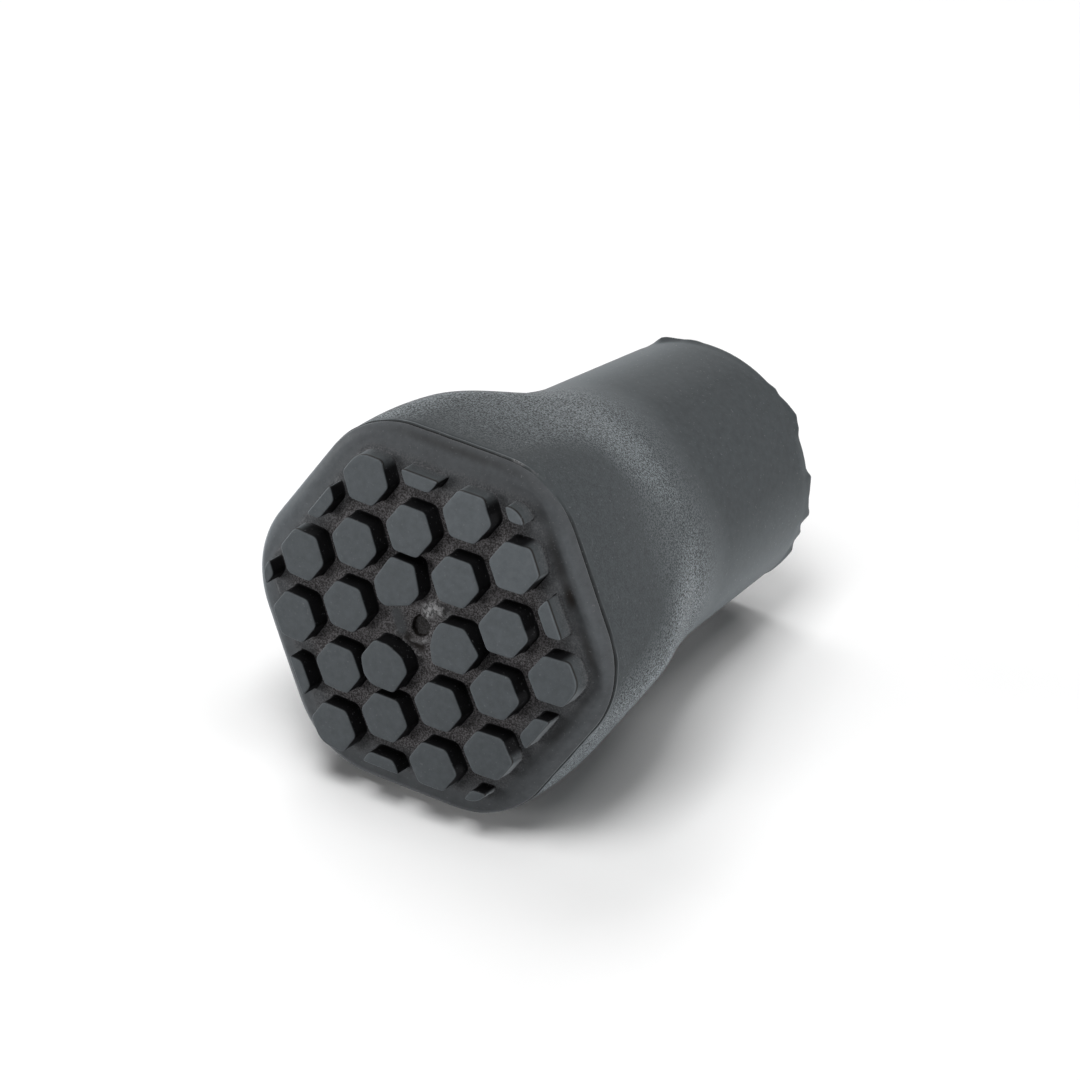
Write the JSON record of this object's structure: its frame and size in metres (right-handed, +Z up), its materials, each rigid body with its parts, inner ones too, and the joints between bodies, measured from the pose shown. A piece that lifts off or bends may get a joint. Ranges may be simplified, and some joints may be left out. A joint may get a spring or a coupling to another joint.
{
  "type": "trekking pole tip",
  "caption": "Hexagonal rubber tip with a hexagon-studded domed tread, a soft shoulder and a round tube with a blind socket that plugs onto a pole's end.",
  "frame": {"origin": "on the ground below the middle of the tip's box, as it lies on one flat of its head and the rim of its mouth", "axes": "+Z up; the tread faces -Y and the mouth +Y; X runs across the tip. The pole's axis lies in the YZ plane and drops 7 degrees towards the mouth."},
  "size_m": [0.0358, 0.0518, 0.0338],
  "materials": {
    "rubber": "matt moulded rubber, satin on the tube, finely grained on the shoulder"
  },
  "bodies": {
    "root": {"rubber_tip": "rubber"}
  },
  "joints": []
}
